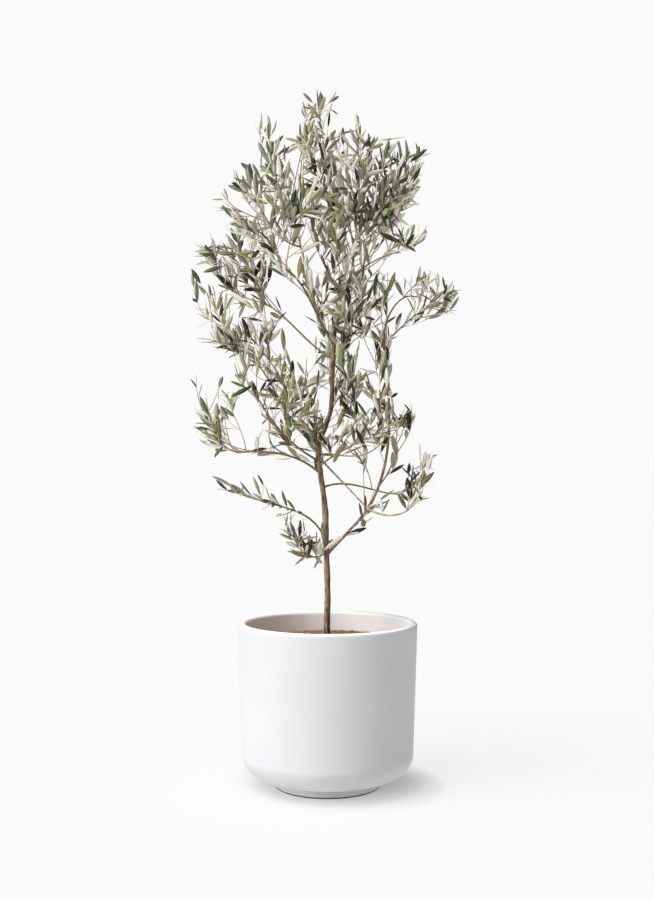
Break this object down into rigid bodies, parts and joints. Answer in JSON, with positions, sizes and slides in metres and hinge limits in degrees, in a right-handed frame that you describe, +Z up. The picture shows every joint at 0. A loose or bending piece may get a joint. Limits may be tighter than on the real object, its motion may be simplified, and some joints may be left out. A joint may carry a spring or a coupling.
{
  "type": "potted olive tree",
  "caption": "Young olive tree with one slim trunk and an open crown of narrow leaves, in a round planter with a rolled rim.",
  "frame": {"origin": "centre of the pot's flat underside, on the ground", "axes": "+Z up, -Y towards the side that the picture shows, +X to that side's right"},
  "size_m": [0.7159, 0.5845, 1.7335],
  "materials": {
    "pot": "satin",
    "soil": "matte",
    "bark": "matte",
    "foliage": "matte"
  },
  "bodies": {
    "root": {"pot": "pot", "soil": "soil", "trunk": "bark", "leader_right": "bark", "leader_left": "bark", "left_upright": "bark", "upper_left": "bark", "left_middle": "bark", "left_long": "bark", "left_low": "bark", "far_left": "bark", "bottom_left": "bark", "bottom_hang": "bark", "right_low": "bark", "right_upright": "bark", "right_arch": "bark", "right_arch_end": "bark", "right_cross": "bark", "right_fork": "bark", "right_under": "bark", "right_side": "bark", "tip_high": "bark", "tip_low": "bark", "right_spray": "bark", "top_centre": "foliage", "top_right": "foliage", "top_middle": "foliage", "top_front": "foliage", "top_left": "foliage", "upper_left_high": "foliage", "upper_left_side": "foliage", "inner_left": "foliage", "left_middle_high": "foliage", "left_middle_low": "foliage", "left_low_back": "foliage", "left_low_front": "foliage", "centre_left_back": "foliage", "centre_left_front": "foliage", "left_reach": "foliage", "centre_left_low": "foliage", "far_left_inner": "foliage", "far_left_outer": "foliage", "bottom_left_spray": "foliage", "bottom_left_hang": "foliage", "centre_top": "foliage", "centre_back": "foliage", "right_spray_end": "foliage", "tip_low_end": "foliage", "tip_high_end": "foliage", "centre_right": "foliage", "centre_right_back": "foliage", "right_under_end": "foliage", "right_side_end": "foliage", "right_low_spray": "foliage", "right_low_back": "foliage", "upper_centre": "foliage", "middle_front": "foliage", "middle_back": "foliage", "left_inner": "foliage", "right_inner": "foliage"}
  },
  "joints": []
}
